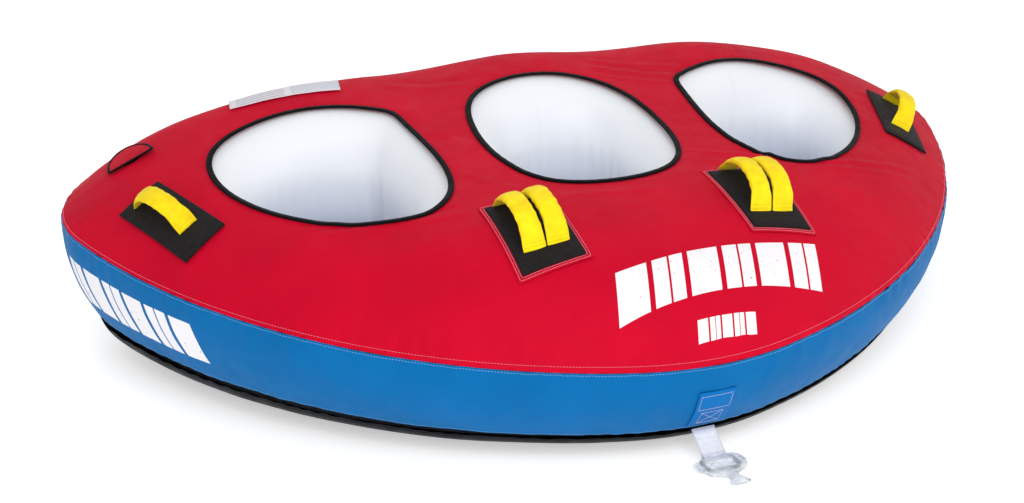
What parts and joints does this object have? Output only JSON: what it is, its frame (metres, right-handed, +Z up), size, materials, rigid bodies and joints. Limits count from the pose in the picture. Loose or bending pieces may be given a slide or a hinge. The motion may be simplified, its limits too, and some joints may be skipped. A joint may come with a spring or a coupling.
{
  "type": "towable tube",
  "caption": "Inflatable towable tube: a row of cockpits in a sewn nylon cover, with padded grab handles on the deck, a back zipper, an air valve and a front tow strap.",
  "frame": {"origin": "the point of the flat underside below the middle cockpit", "axes": "+X along the row of cockpits, -Y towards the tow strap at the front, +Z up"},
  "size_m": [2.1802, 1.2982, 0.5605],
  "materials": {
    "red_nylon": "woven nylon, matt",
    "blue_nylon": "woven nylon, matt",
    "black_nylon": "woven nylon, matt",
    "white_pvc": "welded vinyl, glossy",
    "yellow_nylon": "gathered nylon tube over webbing",
    "black_neoprene": "fabric-faced foam, matt",
    "white_webbing": "woven webbing",
    "clear_film": "crumpled clear film",
    "valve_plastic": "moulded",
    "black_rubber": "moulded",
    "black_plastic": "moulded",
    "label_fabric": "satin label",
    "stainless_steel": "pressed"
  },
  "bodies": {
    "tube": {"bottom_cover": "black_nylon", "cockpit_binding_left": "black_nylon", "cockpit_binding_middle": "black_nylon", "cockpit_binding_right": "black_nylon", "deck_pad_left": "black_neoprene", "deck_pad_right": "black_neoprene", "deck_patch_left": "red_nylon", "deck_patch_right": "red_nylon", "drain_grommet_left": "stainless_steel", "drain_grommet_right": "stainless_steel", "end_pad_left": "black_neoprene", "end_pad_right": "black_neoprene", "label_patch": "label_fabric", "main_bladder": "white_pvc", "seat_floor_left": "white_pvc", "seat_floor_middle": "white_pvc", "seat_floor_right": "white_pvc", "side_band": "blue_nylon", "top_cover": "red_nylon", "tow_harness_left": "black_nylon", "tow_harness_right": "black_nylon", "tow_patch": "blue_nylon", "valve_base": "valve_plastic", "valve_diaphragm": "black_rubber", "valve_insert": "valve_plastic", "valve_tether": "black_rubber", "zipper_chain": "black_plastic", "zipper_tape_lower": "black_nylon", "zipper_tape_upper": "black_nylon"},
    "deck_handle_left_outer": {"deck_handle_left_outer_webbing": "yellow_nylon", "deck_handle_left_outer_sleeve": "yellow_nylon"},
    "deck_handle_left_inner": {"deck_handle_left_inner_webbing": "yellow_nylon", "deck_handle_left_inner_sleeve": "yellow_nylon"},
    "deck_handle_right_outer": {"deck_handle_right_outer_webbing": "yellow_nylon", "deck_handle_right_outer_sleeve": "yellow_nylon"},
    "deck_handle_right_inner": {"deck_handle_right_inner_webbing": "yellow_nylon", "deck_handle_right_inner_sleeve": "yellow_nylon"},
    "end_handle_left": {"end_handle_left_webbing": "yellow_nylon", "end_handle_left_sleeve": "yellow_nylon"},
    "end_handle_right": {"end_handle_right_webbing": "yellow_nylon", "end_handle_right_sleeve": "yellow_nylon"},
    "valve_flap": {"valve_flap": "red_nylon", "valve_flap_binding": "black_nylon"},
    "valve_cap": {"valve_cap": "black_plastic"},
    "zipper_slider": {"zipper_slider": "black_plastic"},
    "zipper_pull": {"zipper_pull": "black_plastic"},
    "tow_strap": {"tow_strap": "white_webbing"},
    "tow_ring": {"tow_ring": "black_plastic", "tow_ring_film": "clear_film"}
  },
  "joints": [
    {"name": "deck_handle_left_outer_tilt", "type": "hinge", "parent": "tube", "child": "deck_handle_left_outer", "pos_m": [-0.28286, -0.37188, 0.4435], "axis": [-0.0303, 0.9607, 0.2758], "range_deg": [-50, 4]},
    {"name": "deck_handle_left_inner_tilt", "type": "hinge", "parent": "tube", "child": "deck_handle_left_inner", "pos_m": [-0.23117, -0.37188, 0.44918], "axis": [-0.0303, 0.9607, 0.2758], "range_deg": [-4, 50]},
    {"name": "deck_handle_right_outer_tilt", "type": "hinge", "parent": "tube", "child": "deck_handle_right_outer", "pos_m": [0.28286, -0.37188, 0.4435], "axis": [0.0303, 0.9607, 0.2758], "range_deg": [-4, 50]},
    {"name": "deck_handle_right_inner_tilt", "type": "hinge", "parent": "tube", "child": "deck_handle_right_inner", "pos_m": [0.23117, -0.37188, 0.44918], "axis": [0.0303, 0.9607, 0.2758], "range_deg": [-50, 4]},
    {"name": "end_handle_left_tilt", "type": "hinge", "parent": "tube", "child": "end_handle_left", "pos_m": [-0.90497, 0.05389, 0.40527], "axis": [-0.4229, 0.8998, 0.1073], "range_deg": [-50, 50]},
    {"name": "end_handle_right_tilt", "type": "hinge", "parent": "tube", "child": "end_handle_right", "pos_m": [0.90497, 0.05389, 0.40527], "axis": [0.4229, 0.8998, 0.1073], "range_deg": [-50, 50]},
    {"name": "valve_flap_lift", "type": "hinge", "parent": "tube", "child": "valve_flap", "pos_m": [-0.92345, 0.29601, 0.43986], "axis": [0.9103, 0.0012, 0.4139], "range_deg": [0, 120]},
    {"name": "valve_cap_turn", "type": "hinge", "parent": "tube", "child": "valve_cap", "pos_m": [-0.92117, 0.33999, 0.43472], "axis": [-0.4139, 0.0027, 0.9103], "range_deg": [0, 270]},
    {"name": "zipper_run", "type": "slide", "parent": "tube", "child": "zipper_slider", "axis": [1, 0, 0], "range_m": [0, 0.57]},
    {"name": "zipper_pull_swing", "type": "hinge", "parent": "zipper_slider", "child": "zipper_pull", "pos_m": [-0.285, 0.49515, 0.2478], "axis": [0, 0.239, 0.971], "range_deg": [0, 170]},
    {"name": "tow_strap_lift", "type": "hinge", "parent": "tube", "child": "tow_strap", "pos_m": [0, -0.644, 0.05932], "axis": [-1, 0, 0], "range_deg": [0, 55]},
    {"name": "tow_ring_lift", "type": "hinge", "parent": "tow_strap", "child": "tow_ring", "pos_m": [0, -0.69798, 0.01715], "axis": [-1, 0, 0], "range_deg": [0, 25]}
  ]
}
